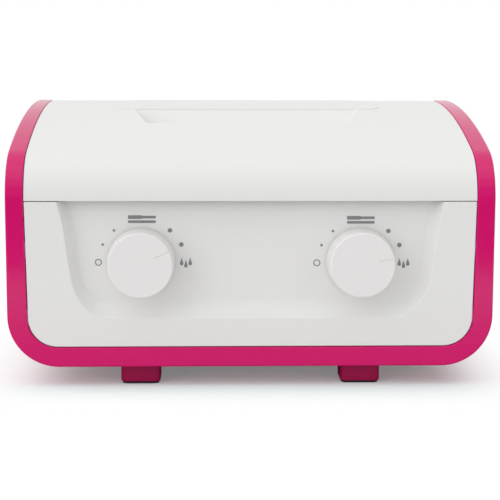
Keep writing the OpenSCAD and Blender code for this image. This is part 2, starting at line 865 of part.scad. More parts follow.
// Four terminals side by side on the heat shield, two for each heating circuit
module terminal_block() color("ivory") placed() difference() {
    union() {
        block([-21, block_y - 8, shield_top], [21, block_y + 8, shield_top + 5]);
        for (x = terminal_xs) {
            block([x - 4, block_y - 6, shield_top + 4], [x + 4, block_y + 6, shield_top + 13]);
        }
    }
    for (x = terminal_xs) {
        translate([x, block_y, shield_top + 8]) cylinder(r = 2.2, h = 6, $fn = 32);
        rod_y(x, shield_top + 8, block_y - 7, block_y + 7, 1.6);
    }
}

// The bush where the mains lead comes in
module cord_gland() color(black) placed() difference() {
    union() {
        rod_y(0, gland_z, rear_face - 6, rear_face + 0.5, gland_r);
        rod_y(0, gland_z, rear_face, rear_face + 2, gland_r + 2.6);
        rod_y(0, gland_z, rear_face - panel_t - 2, rear_face - panel_t, gland_r + 1.2);
    }
    rod_y(0, gland_z, rear_face - 7, rear_face + 3, gland_bore);
}

// Two leads from the block to the band and the thermostat, and the link between those two
module wiring(side) color("dimgray") placed() {
    run_z = shield_top + 1.5;
    block_z = shield_top + 8;
    band_x = side * well_x;
    case_x = side * knob_x;
    blade_y = well_y - well_r - 9.02;
    blade_z = band_z + 12.4;
    case_z = knob_z - 7.6;
    case_y = recess_back + 30.02;
    lead([
        [side * 15, block_y - 5, block_z], [side * 15, block_y - 14, block_z],
        [side * 7.5, block_y - 26, run_z], [side * 7.5, 56, run_z], [band_x - 12, 53, run_z + 8],
        [band_x - 12, blade_y - 8, blade_z], [band_x - 12, blade_y, blade_z]
    ], 1.1);
    lead([
        [side * 5, block_y - 5, block_z], [side * 5, block_y - 16, block_z],
        [side * 3, block_y - 28, run_z], [side * 3, 48, run_z], [case_x - 9, 47, run_z + 14],
        [case_x - 9, case_y + 5, case_z - 8], [case_x - 9, case_y + 3, case_z],
        [case_x - 9, case_y, case_z]
    ], 1.1);
    lead([
        [case_x, case_y, case_z], [case_x, case_y + 4, case_z], [case_x, case_y + 9, case_z - 6],
        [band_x - 6, blade_y - 6, blade_z + 3], [band_x - 6, blade_y - 2, blade_z],
        [band_x - 6, blade_y, blade_z]
    ], 1.1);
}

module wiring_left() wiring(-1);

module wiring_right() wiring(1);

// A foot with rounded corners in plan
module foot_plan(inset) {
    half = foot_w / 2 - inset;
    r = 4;
    for (x = [-1, 1], y = [-1, 1]) translate([x * (half - r), y * (half - r - 1)]) circle(r, $fn = 32);
    square([2 * half, 2 * (half - r - 1)], center = true);
    square([2 * (half - r), 2 * half - 2], center = true);
}

module foot(side, y) color(rose) placed() translate([side * foot_x, y, pad_t]) difference() {
    linear_extrude(foot_h - pad_t) foot_plan(0);
    translate([0, 0, foot_h - pad_t - 8]) screw_hole(10);
}

module foot_pad(side, y) color(black) placed() translate([side * foot_x, y, 0]) {
    linear_extrude(pad_t) foot_plan(1);
}

module foot_front_left() foot(-1, foot_ys[0]);

module foot_front_right() foot(1, foot_ys[0]);

module foot_rear_left() foot(-1, foot_ys[1]);

module foot_rear_right() foot(1, foot_ys[1]);

module foot_pad_front_left() foot_pad(-1, foot_ys[0]);

module foot_pad_front_right() foot_pad(1, foot_ys[0]);

module foot_pad_rear_left() foot_pad(-1, foot_ys[1]);

module foot_pad_rear_right() foot_pad(1, foot_ys[1]);

module foot_screws() color(steel) placed() {
    for (x = [-foot_x, foot_x], y = foot_ys) translate([x, y, foot_h - 7.5]) screw(wall + 7.5);
}

module deck_screws() color(steel) placed() {
    for (x = [-opening_half + 4, opening_half - 4], y = deck_screw_ys) {
        translate([x, y, deck_z - 4]) screw(deck_t + 4);
    }
}

module heat_shield_screws() color(steel) placed() {
    for (x = [-shield_post_x, shield_post_x], y = shield_post_ys) {
        translate([x, y, shield_z - 8]) screw(shield_t + 8);
    }
}

// Screws through the lugs of the front panel into the liners
module front_panel_screws() color(steel) placed() both_sides() {
    for (z = lug_zs) {
        translate([opening_half + liner_t - 0.2, 10, z]) rotate([0, -90, 0]) screw(liner_t + 8.3);
    }
}

module rear_panel_screws() color(steel) placed() {
    for (x = [-lug_in - 3, lug_in + 3], z = lug_zs) {
        translate([x, rear_face - 12, z]) rotate([-90, 0, 0]) screw(12);
    }
}

module liner_screws() color(steel) placed() both_sides() {
    for (place = liner_screw_places) {
        translate([opening_half + 8, place[0], place[1]]) rotate([0, -90, 0]) screw(8);
    }
}

outer_shell();
left_cheek_liner();
right_cheek_liner();
front_panel();
rear_panel();
inner_deck();
heat_shield();
lid();
lid_handle();
lid_handle_screws();
lid_bumpers();
hinge_pin_left();
hinge_pin_right();
well_left();
well_right();
well_nuts();
well_gasket_left();
well_gasket_right();
heater_band_left();
heater_band_right();
insulation_left();
insulation_right();
pot_left();
pot_right();
pot_ears_left();
pot_ears_right();
pot_bail_left();
pot_bail_right();
thermostat_left();
thermostat_right();
thermostat_shaft_left();
thermostat_shaft_right();
shaft_nut_left();
shaft_nut_right();
knob_left();
knob_right();
knob_clip_left();
knob_clip_right();
sensor_left();
sensor_right();
thermal_fuse_left();
thermal_fuse_right();
terminal_block();
cord_gland();
wiring_left();
wiring_right();
foot_front_left();
foot_front_right();
foot_rear_left();
foot_rear_right();
foot_pad_front_left();
foot_pad_front_right();
foot_pad_rear_left();
foot_pad_rear_right();
foot_screws();
deck_screws();
front_panel_screws();
rear_panel_screws();
liner_screws();
heat_shield_screws();
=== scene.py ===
"""Double wax warmer: the looks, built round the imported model.

Places and sizes of the object are in millimetres in the object's own frame, and are turned
into metres where a mesh is made. "Depth" is measured backwards from the front rim plane.
"""
import json
import math

import bmesh
import bpy
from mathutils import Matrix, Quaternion, Vector


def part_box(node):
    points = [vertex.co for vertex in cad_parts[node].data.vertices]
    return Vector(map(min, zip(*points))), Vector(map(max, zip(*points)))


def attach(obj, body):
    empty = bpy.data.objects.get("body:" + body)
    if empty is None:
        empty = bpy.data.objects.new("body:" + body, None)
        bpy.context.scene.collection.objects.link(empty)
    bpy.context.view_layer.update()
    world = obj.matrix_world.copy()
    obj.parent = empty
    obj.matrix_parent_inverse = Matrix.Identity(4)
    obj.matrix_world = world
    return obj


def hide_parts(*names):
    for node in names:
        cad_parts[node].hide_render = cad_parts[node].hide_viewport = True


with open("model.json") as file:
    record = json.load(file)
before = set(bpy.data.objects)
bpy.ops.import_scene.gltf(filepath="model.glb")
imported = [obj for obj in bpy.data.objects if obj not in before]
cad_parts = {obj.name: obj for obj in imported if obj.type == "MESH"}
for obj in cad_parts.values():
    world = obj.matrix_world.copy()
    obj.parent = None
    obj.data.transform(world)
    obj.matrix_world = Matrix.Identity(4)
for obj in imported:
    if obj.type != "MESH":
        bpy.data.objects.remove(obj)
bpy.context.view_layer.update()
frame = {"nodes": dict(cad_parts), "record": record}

nodes = frame["nodes"]

MM = 0.001

# Driving sizes, the same as in the CAD source
BODY_W, BODY_D, CHEEK_W, WALL = 341.0, 236.0, 12.5, 3.0
FOOT_H, RIM_H, CORNER_R, PANEL_R, GAP = 14.0, 14.0, 36.0, 21.0, 0.5
KNEE_R, SLOPE, REAR_R, LID_T = 36.5, 18.0, 32.0, 2.5
GRIP_W, GRIP_RISE, GRIP_SINK = 210.0, 0.4, 1.2
KNOB_X, KNOB_Z, KNOB_R, KNOB_FRONT_R, KNOB_REACH = 77.0, 87.6, 24.0, 22.6, 11.5
LEFT_POINTER, RIGHT_POINTER = 26.0, 12.0
KNOB_EDGE, KNOB_WALL = 1.0, 2.6
GROOVE_START, GROOVE_DEPTH = 11.0, 0.7
WELL_X = 76.0
RECESS_DEPTH = 9.0
FOOT_W, FOOT_X, PAD_T = 28.0, 78.0, 1.5
PANEL_FRONT, PANEL_T = 0.5, 3.0
HINGE_X, HINGE_ARM, HINGE_R, HINGE_BORE = 95.0, 8.0, 4.2, 1.55
SCREW_DEPTH = 160.0
OUTER_EDGE, INNER_EDGE = 1.4, 1.0

# Worked out from those
HALF_W = BODY_W / 2
KNEE_Z = FOOT_H + 116
LID_Z = KNEE_Z + 1.3
PANEL_TOP = LID_Z - 0.6
OPEN_Z = FOOT_H + RIM_H
CREST_Y = BODY_D - REAR_R
TOP_R = (CREST_Y - KNEE_R) / math.sin(math.radians(SLOPE)) + KNEE_R
TOP_Z = KNEE_Z - (TOP_R - KNEE_R) * math.cos(math.radians(SLOPE))
CREST_Z = TOP_Z + TOP_R
REAR_Z = CREST_Z - REAR_R
LEAN_Z, LEAN_R = FOOT_H + 146, 500.0
OPEN_HALF = HALF_W - CHEEK_W
OPEN_LOW = OPEN_HALF - 1.5
LID_HALF = OPEN_HALF - GAP
LID_INSET = 0.5
REAR_FACE = BODY_D - 0.6
RECESS_FLOOR = PANEL_FRONT + RECESS_DEPTH
KNOB_BACK = RECESS_FLOOR - 1
WELL_FLOOR_Z = FOOT_H + 158
FRONT_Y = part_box("outer_shell")[0].y / MM
FOOT_YS = (21.0, BODY_D - 21.0)
HINGE_Y, HINGE_Z = BODY_D + 4.3, LID_Z - 0.3
GRIP_SCREW_X = GRIP_W / 3


def arc(centre, radius, start, end, steps):
    """Points of an arc, from one angle to another in degrees."""
    angles = [math.radians(start + (end - start) * i / steps) for i in range(steps + 1)]
    return [(centre[0] + radius * math.cos(a), centre[1] + radius * math.sin(a)) for a in angles]


def side_outline(inset=0.0, low=FOOT_H):
    """Side view of the body as (depth, height) points."""
    knee = KNEE_R - inset
    start = 180.0
    if low > KNEE_Z:
        start -= math.degrees(math.asin((low - KNEE_Z) / knee))
    points = [] if low > KNEE_Z else [(inset, low)]
    points += arc((KNEE_R, KNEE_Z), knee, start, 90 + SLOPE, 32)
    points += arc((CREST_Y, TOP_Z), TOP_R - inset, 90 + SLOPE, 90, 40)[1:]
    points += arc((CREST_Y, REAR_Z), REAR_R - inset, 90, 0, 32)[1:]
    points.append((BODY_D - inset, low))
    return points


def u_outline(inset=0.0, top=260.0):
    """Front view of the rose shell as (side, height) points, without the lean of the cheeks."""
    half = HALF_W - inset
    corner = (HALF_W - CORNER_R, FOOT_H + CORNER_R)
    right = arc(corner, CORNER_R - inset, -90, 0, 24) + [(half, top)]
    return [(-x, z) for x, z in reversed(right)] + right


def opening_outline(inset=0.0, top=260.0):
    """Front view of the opening between the cheeks as (side, height) points."""
    corner = (OPEN_LOW - PANEL_R, OPEN_Z + PANEL_R)
    right = arc(corner, PANEL_R - inset, -90, 0, 20)
    right += [(OPEN_HALF - inset, KNEE_Z), (OPEN_HALF - inset, top)]
    return [(-x, z) for x, z in reversed(right)] + right


def rounded_rectangle(half_x, half_y, radius, steps=8):
    """Plan of a rectangle with round corners about the origin."""
    points = []
    for i, (sx, sy) in enumerate(((1, 1), (-1, 1), (-1, -1), (1, -1))):
        corner = (sx * (half_x - radius), sy * (half_y - radius))
        points += arc(corner, radius, 90 * i, 90 * i + 90, steps)
    return points


def to_world(x, depth, z):
    return Vector((x * MM, (depth + FRONT_Y) * MM, z * MM))


def new_object(name, data):
    obj = bpy.data.objects.new(name, data)
    bpy.context.scene.collection.objects.link(obj)
    return obj


def solid(name, points, faces):
    """A mesh object from points in millimetres, with its faces turned outwards."""
    mesh = bpy.data.meshes.new(name)
    mesh.from_pydata([to_world(*p) for p in points], [], faces)
    work = bmesh.new()
    work.from_mesh(mesh)
    bmesh.ops.recalc_face_normals(work, faces=work.faces)
    work.to_mesh(mesh)
    work.free()
    return new_object(name, mesh)


def prism(name, outline, low, high, place):
    """An outline extruded between two places; place(a, b, t) gives the point of (a, b) at t."""
    count = len(outline)
    points = [place(a, b, t) for t in (low, high) for a, b in outline]
    faces = [list(range(count)), list(range(2 * count - 1, count - 1, -1))]
    for i in range(count):
        j = (i + 1) % count
        faces.append([i, j, count + j, count + i])
    return solid(name, points, faces)


def across(name, outline, x0, x1):
    return prism(name, outline, x0, x1, lambda depth, z, x: (x, depth, z))


def deep(name, outline, y0, y1):
    return prism(name, outline, y0, y1, lambda x, z, depth: (x, depth, z))


def upright(name, outline, z0, z1):
    return prism(name, outline, z0, z1, lambda x, depth, z: (x, depth, z))


def block(name, low, high):
    outline = [(low[0], low[1]), (high[0], low[1]), (high[0], high[1]), (low[0], high[1])]
    return upright(name, outline, low[2], high[2])


def lathe(name, profile, steps, centre):
    """A profile of (radius, depth) points turned about an axis that runs in depth."""
    points, faces = [], []
    rows = len(profile)
    for i in range(steps):
        a = 2 * math.pi * i / steps
        for radius, depth in profile:
            points.append((centre[0] + radius * math.cos(a), depth, centre[1] + radius * math.sin(a)))
    for i in range(steps):
        j = (i + 1) % steps
        for k in range(rows - 1):
            faces.append([i * rows + k, i * rows + k + 1, j * rows + k + 1, j * rows + k])
    obj = solid(name, points, faces)
    work = bmesh.new()
    work.from_mesh(obj.data)
    bmesh.ops.remove_doubles(work, verts=work.verts, dist=1e-7)
    bmesh.ops.recalc_face_normals(work, faces=work.faces)
    work.to_mesh(obj.data)
    work.free()
    return obj


def apply_modifiers(obj):
    graph = bpy.context.evaluated_depsgraph_get()
    mesh = bpy.data.meshes.new_from_object(
        obj.evaluated_get(graph), preserve_all_data_layers=True, depsgraph=graph)
    obj.modifiers.clear()
    obj.data = mesh


def combine(obj, tool, operation):
    """Boolean of two objects; the tool goes away."""
    modifier = obj.modifiers.new("combine", "BOOLEAN")
    modifier.operation = operation
    modifier.object = tool
    modifier.solver = "EXACT"
    apply_modifiers(obj)
    bpy.data.objects.remove(tool)
    return obj


def cut(obj, *tools):
    for tool in tools:
        combine(obj, tool, "DIFFERENCE")


def common(obj, tool):
    return combine(obj, tool, "INTERSECT")


def fuse(obj, *tools):
    for tool in tools:
        combine(obj, tool, "UNION")


def soften(obj, widths, largest, segments=3, sharp=28.0):
    """Rounds the sharp edges of a solid. widths(a, b) gives an edge's radius in millimetres, where
    a and b are its ends as (x, depth, z); largest is the largest of those radii."""
    work = bmesh.new()
    work.from_mesh(obj.data)
    bmesh.ops.remove_doubles(work, verts=work.verts, dist=2e-6)
    bmesh.ops.dissolve_limit(
        work, angle_limit=math.radians(0.2), verts=work.verts, edges=work.edges)
    layers = work.edges.layers.float
    layer = layers.get("bevel_weight_edge") or layers.new("bevel_weight_edge")
    for edge in work.edges:
        edge[layer] = 0.0
        if len(edge.link_faces) == 2 and edge.calc_face_angle(0) > math.radians(sharp):
            a, b = [Vector((v.co.x / MM, v.co.y / MM - FRONT_Y, v.co.z / MM)) for v in edge.verts]
            edge[layer] = widths(a, b) / largest
    work.to_mesh(obj.data)
    work.free()
    bevel = obj.modifiers.new("soften", "BEVEL")
    bevel.limit_method = "WEIGHT"
    bevel.width = largest * MM
    bevel.segments = segments
    bevel.use_clamp_overlap = True
    bevel.miter_outer = "MITER_ARC"
    apply_modifiers(obj)


def smooth(obj, angle=32.0):
    """Smooth shading with sharp edges kept and flat faces flat."""
    obj.data.shade_smooth()
    obj.data.set_sharp_from_angle(angle=math.radians(angle))
    weighted = obj.modifiers.new("flat_faces", "WEIGHTED_NORMAL")
    weighted.keep_sharp = True
    weighted.weight = 80
    return obj


def piece(obj, body, slot, material, *replaced):
    """Gives a finished mesh its material and body, and hides the nodes that it stands for. The slot is
    not used.
    """
    obj.data.materials.clear()
    obj.data.materials.append(material)
    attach(obj, body)
    if replaced:
        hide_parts(*replaced)


def circle(centre, radius, steps=48):
    return arc(centre, radius, 0, 360, steps)[:-1]


def rod_across(depth, z, x0, x1, radius):
    return across("rod", circle((depth, z), radius), x0, x1)


def rod_deep(x, z, y0, y1, radius):
    return deep("rod", circle((x, z), radius), y0, y1)


def rod_upright(x, depth, z0, z1, radius):
    return upright("rod", circle((x, depth), radius), z0, z1)


def hull(name, points):
    """Convex body round a list of points in millimetres."""
    mesh = bpy.data.meshes.new(name)
    work = bmesh.new()
    for p in points:
        work.verts.new(to_world(*p))
    made = bmesh.ops.convex_hull(work, input=work.verts)
    left_over = made["geom_interior"] + made["geom_unused"]
    spare = {part for part in left_over if isinstance(part, bmesh.types.BMVert)}
    bmesh.ops.delete(work, geom=list(spare), context="VERTS")
    bmesh.ops.recalc_face_normals(work, faces=work.faces)
    work.to_mesh(mesh)
    work.free()
    return new_object(name, mesh)


# Materials

# Sockets of a mix node, for colours and for numbers
COLOUR_A, COLOUR_B, COLOUR_OUT = 6, 7, 2
NUMBER_A, NUMBER_B, NUMBER_OUT = 2, 3, 0


def material(name, colour, roughness, metallic=0.0, specular=0.5, vary=0.03, vary_size=0.05,
             rough_vary=0.05, grain_size=0.0004, grain=0.00001, sheen=0.0, anisotropy=0.0,
             brushed=None):
    """A procedural material: uneven colour and roughness, and a fine surface grain, whose sizes
    are in metres."""
    made = bpy.data.materials.new(name)
    made.use_nodes = True
    tree = made.node_tree
    shader = tree.nodes["Principled BSDF"]
    place = tree.nodes.new("ShaderNodeTexCoord")
    source = place.outputs["Object"]
    if brushed:
        stretch = tree.nodes.new("ShaderNodeMapping")
        stretch.inputs["Scale"].default_value = brushed
        tree.links.new(source, stretch.inputs["Vector"])
        source = stretch.outputs["Vector"]

    def noise(size, detail):
        node = tree.nodes.new("ShaderNodeTexNoise")
        node.inputs["Scale"].default_value = 1 / size
        node.inputs["Detail"].default_value = detail
        tree.links.new(source, node.inputs["Vector"])
        return node.outputs["Fac"]

    patches = noise(vary_size, 3)
    shades = tree.nodes.new("ShaderNodeMix")
    shades.data_type = "RGBA"
    shades.inputs[COLOUR_A].default_value = [*[c * (1 - vary) for c in colour], 1]
    shades.inputs[COLOUR_B].default_value = [*[min(1, c * (1 + vary)) for c in colour], 1]
    tree.links.new(patches, shades.inputs[0])
    tree.links.new(shades.outputs[COLOUR_OUT], shader.inputs["Base Color"])

    smudge = tree.nodes.new("ShaderNodeMapRange")
    smudge.inputs["From Min"].default_value = 0.3
    smudge.inputs["From Max"].default_value = 0.7
    smudge.inputs["To Min"].default_value = max(0.02, roughness - rough_vary)
    smudge.inputs["To Max"].default_value = roughness + rough_vary
    tree.links.new(noise(vary_size * 0.3, 5), smudge.inputs["Value"])
    tree.links.new(smudge.outputs["Result"], shader.inputs["Roughness"])

    bump = tree.nodes.new("ShaderNodeBump")
    bump.inputs["Strength"].default_value = 1.0
    bump.inputs["Distance"].default_value = grain
    tree.links.new(noise(grain_size, 2), bump.inputs["Height"])
    tree.links.new(bump.outputs["Normal"], shader.inputs["Normal"])

    shader.inputs["Metallic"].default_value = metallic
    shader.inputs["Specular IOR Level"].default_value = specular
    shader.inputs["Sheen Weight"].default_value = sheen
    shader.inputs["Anisotropic"].default_value = anisotropy
    return made


look = {
    "rose_shell": material("rose_gloss", (0.70, 0.005, 0.155), 0.13, vary=0.02, rough_vary=0.02,
                           grain=0.0000006),
    # Painted shade: the feet take the rose darkened to about half, with less shine, for the shade under
    # the body
    "rose_foot_painted_shade": material("rose_foot_painted_shade", (0.36, 0.003, 0.075), 0.3, specular=0.25, vary=0.02,
                          rough_vary=0.02, grain=0.0000006),
    "pearl_shell": material("pearl_gloss", (0.86, 0.86, 0.85), 0.36, specular=0.4, vary=0.008,
                            rough_vary=0.03, grain=0.0000012),
    "pearl_inner": material("pearl_satin", (0.80, 0.80, 0.79), 0.5, vary=0.02, grain=0.000004),
    "knob_plastic": material("knob_satin", (0.88, 0.865, 0.86), 0.4, specular=0.4, vary=0.008,
                             grain=0.000002),
    "cast_alloy": material("turned_alloy", (0.80, 0.81, 0.82), 0.3, metallic=1.0, grain=0.00001,
                           brushed=(1, 1, 12), anisotropy=0.3),
    "steel": material("bright_steel", (0.62, 0.63, 0.65), 0.25, metallic=1.0, grain=0.000006),
    "rubber": material("black_rubber", (0.025, 0.025, 0.026), 0.7, vary=0.2, grain=0.00004),
    "silicone": material("red_silicone", (0.55, 0.12, 0.08), 0.55, vary=0.08, grain=0.00002),
    "mica_band": material("mica", (0.55, 0.42, 0.20), 0.4, vary=0.2, vary_size=0.01,
                          grain=0.00005),
    "wool": material("mineral_wool", (0.72, 0.66, 0.45), 0.95, vary=0.2, vary_size=0.004,
                     grain_size=0.001, grain=0.0006, sheen=0.2),
    "copper": material("copper_tube", (0.72, 0.40, 0.24), 0.3, metallic=1.0, grain=0.00001),
    "wire_jacket": material("wire_jacket", (0.10, 0.10, 0.11), 0.45, vary=0.1, grain=0.00001),
    "ceramic": material("glazed_ceramic", (0.85, 0.83, 0.76), 0.3, vary=0.03, grain=0.00003),
}
ink = material("dial_ink", (0.26, 0.26, 0.27), 0.5, vary=0.05, grain=0.00001)

# Every solid gets its slot's look and slightly rounded edges
for part in frame["record"]["subparts"]:
    node = nodes[part["node"]]
    if not node.material_slots:
        node.data.materials.append(look[part["material_slot"]])
    for place in node.material_slots:
        place.material = look[part["material_slot"]]
    weld = node.modifiers.new("weld", "WELD")
    weld.merge_threshold = 0.000002
    bevel = node.modifiers.new("edges", "BEVEL")
    bevel.width = 0.0002
    bevel.segments = 2
    bevel.limit_method = "ANGLE"
    bevel.angle_limit = math.radians(40)


# Rose shell

def outline_gap(x, z):
    """How far a point lies inside the U outline of the rose shell."""
    corner_x, corner_z = HALF_W - CORNER_R, FOOT_H + CORNER_R
    if z >= corner_z:
        return HALF_W - abs(x)
    if abs(x) <= corner_x:
        return z - FOOT_H
    return CORNER_R - math.hypot(abs(x) - corner_x, corner_z - z)


def shell_edge(a, b):
    if max(outline_gap(a.x, a.z), outline_gap(b.x, b.z)) < 0.1:
        return OUTER_EDGE
    return INNER_EDGE


def lean(z):
    """How far the outer faces of the cheeks lean in at a height."""
    rise = max(0.0, z - LEAN_Z)
    return LEAN_R - math.sqrt(LEAN_R * LEAN_R - rise * rise)


def slice_level(work, height, **options):
    """Cuts the faces of a mesh along a level plane."""
    bmesh.ops.bisect_plane(
        work, geom=work.verts[:] + work.edges[:] + work.faces[:], dist=1e-7,
        plane_co=to_world(0, 0, height), plane_no=(0, 0, 1), **options)


def lean_cheeks(obj):
    """Moves the outer walls of the cheeks inwards along a large arc."""
    slices, slice_h = 12, 3
    work = bmesh.new()
    work.from_mesh(obj.data)
    for i in range(slices):
        slice_level(work, LEAN_Z + slice_h * i)
    for vertex in work.verts:
        x, z = vertex.co.x / MM, vertex.co.z / MM
        share = min(1.0, max(0.0, (abs(x) - OPEN_HALF) / (CHEEK_W - WALL)))
        vertex.co.x -= math.copysign(lean(z) * share * MM, x)
    work.to_mesh(obj.data)
    work.free()


def cheek_block(inset):
    """The body's outer form, inset by a wall, as one solid that goes below the feet."""
    far, low = HALF_W + 5, FOOT_H - 5
    return common(
        across("side", side_outline(inset, low), -far, far),
        deep("front", u_outline(inset), -5, BODY_D + 5))


def make_shell():
    shell = cheek_block(0)
    hollow = cheek_block(WALL)
    cut(shell, hollow, deep("opening", opening_outline(), -5, BODY_D + 5))
    soften(shell, shell_edge, OUTER_EDGE, segments=4)
    lean_cheeks(shell)
    slot_half, slot_pitch, slot_ys = 1.5, 10, (100, 176)
    post_r, post_depths = 4, (30, BODY_D - 30)
    stud_r, stud_places = 4, ((60, FOOT_H + 56), (BODY_D / 2, FOOT_H + 108), (BODY_D - 56, FOOT_H + 56))
    for side in (-1, 1):
        for i in range(-3, 4):
            x = side * WELL_X + i * slot_pitch
            cut(shell, block("slot", (x - slot_half, slot_ys[0], FOOT_H - 1),
                             (x + slot_half, slot_ys[1], FOOT_H + WALL + 1)))
        for depth in post_depths:
            fuse(shell, rod_upright(side * (OPEN_HALF - 18), depth, FOOT_H + 1, FOOT_H + 20, post_r))
        for depth, z in stud_places:
            ends = sorted((side * (OPEN_HALF + 2.6), side * (HALF_W - 1.5)))
            fuse(shell, rod_across(depth, z, *ends, stud_r))
    shell.name = "rose_shell"
    piece(smooth(shell), "root", "rose_shell", look["rose_shell"], "outer_shell")


make_shell()


# Front panel

# Half outline of the sunk field at the panel's face, from above the panel down to near the middle
FIELD_TOP, FIELD_LOW = 137, 48.5
FIELD = [(136.4, FIELD_TOP), (134.9, 130.3), (132.4, 120), (130.0, 108), (128.2, 93), (126.7, 83),
         (125.3, 75), (122.4, 65.7), (117.6, 58), (112, 52.6), (105.6, 49.4), (98, FIELD_LOW),
         (60, FIELD_LOW), (20, FIELD_LOW)]

# Where the rings of the field's wall lie: across its edge in millimetres, then as shares of the
# wall's width
EDGE_RINGS = (-1.0, -0.6, -0.3, -0.1, 0.1, 0.3, 0.6, 1.0)
WALL_RINGS = (0.06, 0.13, 0.2, 0.28, 0.36, 0.44, 0.52, 0.6, 0.68, 0.76, 0.83, 0.9, 0.95, 1.0)
WALL_WIDTH, WALL_WIDER_BELOW, EDGE_SOFTNESS = 7, 7, 0.09

PANEL_SKIN, BORDER_EDGE, SHAFT_HOLE = 2.6, 0.6, 5.15
LUG_ZS = (FOOT_H + 36, FOOT_H + 83)


def curve_through(points, steps):
    """A smooth curve through points, with equal steps between each two of them."""
    before = (2 * points[0][0] - points[1][0], 2 * points[0][1] - points[1][1])
    after = (2 * points[-1][0] - points[-2][0], 2 * points[-1][1] - points[-2][1])
    ends = [before, *points, after]
    made = []
    for i in range(len(points) - 1):
        p = [Vector(q) for q in ends[i:i + 4]]
        knots = [0.0]
        for k in range(3):
            knots.append(knots[-1] + math.sqrt((p[k + 1] - p[k]).length))
        for s in range(steps):
            t = knots[1] + (knots[2] - knots[1]) * s / steps

            def between(a, b, ta, tb):
                return a * ((tb - t) / (tb - ta)) + b * ((t - ta) / (tb - ta))

            a = [between(p[k], p[k + 1], knots[k], knots[k + 1]) for k in range(3)]
            b = [between(a[k], a[k + 1], knots[k], knots[k + 2]) for k in range(2)]
            made.append(between(b[0], b[1], knots[1], knots[2]))
    made.append(Vector(points[-1]))
    return made


def field_sheet():
    """Front face of the panel: a flat border, and a sunk field with walls that run softly into
    its floor."""
    half = curve_through(FIELD, 5)
    line = half + [Vector((-p.x, p.y)) for p in reversed(half)]
    count = len(line)
    rings = [(False, s) for s in EDGE_RINGS] + [(True, s) for s in WALL_RINGS]
    points, faces = [], []
    for on_wall, s in rings:
        for i, p in enumerate(line):
            way = (line[min(i + 1, count - 1)] - line[max(i - 1, 0)]).normalized()
            inward = Vector((way.y, -way.x))
            width = WALL_WIDTH + WALL_WIDER_BELOW * abs(inward.y) ** 2
            inset = 1 + (width - 1) * s if on_wall else s
            run = (inset + math.sqrt(inset * inset + EDGE_SOFTNESS)) / 2 if inset > -1 else 0
            sunk = RECESS_DEPTH * math.sin(math.pi / 2 * min(1, run / width))
            place = p + inward * inset
            points.append((place.x, PANEL_FRONT + sunk, place.y))
    for k in range(len(rings) - 1):
        for i in range(count - 1):
            a = k * count + i
            faces.append([a, a + 1, a + 1 + count, a + count])
    faces.append([(len(rings) - 1) * count + i for i in range(count)])
    start = len(points)
    border = opening_outline(GAP, FIELD_TOP)
    points += [(x, PANEL_FRONT, z) for x, z in border]
    faces.append([*range(start, start + len(border)), *range(count)])
    return solid("panel", points, faces)


def make_front_panel():
    panel = field_sheet()
    work = bmesh.new()
    work.from_mesh(panel.data)
    slice_level(work, PANEL_TOP, clear_outer=True)
    bmesh.ops.recalc_face_normals(work, faces=work.faces)
    # The sheet is open, so its faces are turned to the front here
    if sum(face.normal.y * face.calc_area() for face in work.faces) > 0:
        bmesh.ops.reverse_faces(work, faces=work.faces)
    work.to_mesh(panel.data)
    work.free()
    thick = panel.modifiers.new("thick", "SOLIDIFY")
    thick.thickness = PANEL_SKIN * MM
    thick.offset = -1
    thick.use_even_offset = True
    apply_modifiers(panel)
    side_from = OPEN_LOW - GAP - 0.05 - PANEL_R

    def outside_field(p):
        """Rough distance between a point of the panel's face and the sunk field."""
        return max(abs(p.x) - (123 + 0.172 * max(0, p.z - 70)), FIELD_LOW - p.z)

    def border_edge(a, b):
        on_front = max(a.y, b.y) < PANEL_FRONT + 0.1
        at_side = min(abs(a.x), abs(b.x)) > side_from or max(a.z, b.z) < OPEN_Z + GAP + 0.1
        outside = min(outside_field(a), outside_field(b)) > 6
        return BORDER_EDGE if on_front and at_side and outside else 0.0

    soften(panel, border_edge, BORDER_EDGE, segments=3, sharp=60)
    for side in (-1, 1):
        cut(panel, rod_deep(side * KNOB_X, KNOB_Z, RECESS_FLOOR - 3, RECESS_FLOOR + 6, SHAFT_HOLE))
        for z in LUG_ZS:
            ends = sorted((side * (OPEN_HALF - 8.5), side * (OPEN_HALF - 0.1)))
            fuse(panel, block("lug", (ends[0], PANEL_FRONT + 1.5, z - 5), (ends[1], 16, z + 5)))
    panel.name = "front_panel_skin"
    piece(smooth(panel, 40), "root", "pearl_shell", look["pearl_shell"], "front_panel")


make_front_panel()


# Lid and grip

# Heights and widths that pass well beyond the lid, for the tools that cut it
ABOVE, BELOW, BESIDE = 210, 150, 130
WELL_TOP_Z = 190


def finger_well(grow):
    """Space of the finger well: its rear wall and its ends slope."""
    lip_z = WELL_TOP_Z - 6
    low = WELL_FLOOR_Z - grow
    places = [(70, 96, low), (76, 112 + grow, low), (74, 86 - grow, lip_z),
              (74, 86 - grow, WELL_TOP_Z), (84, 135.6 + grow, WELL_TOP_Z)]
    corner = circle((0, 0), 3, 16)
    points = []
    for x, depth, z in places:
        for side in (-1, 1):
            points += [(side * (x + grow) + dx, depth + dy, z) for dx, dy in corner]
    return hull("finger_well", points)


def grip_plan(grow=0.0):
    """Plan of the grip plate as (side, depth) points."""
    half, front, rear = GRIP_W / 2 + grow, 136 - grow, CREST_Y + 2 + grow
    front_r, rear_r = 12, 32
    right = arc((half - front_r, front + front_r), front_r, -90, 0, 10)
    right += arc((half - rear_r, rear - rear_r), rear_r, 0, 90, 24)
    return [(-x, depth) for x, depth in reversed(right)] + right


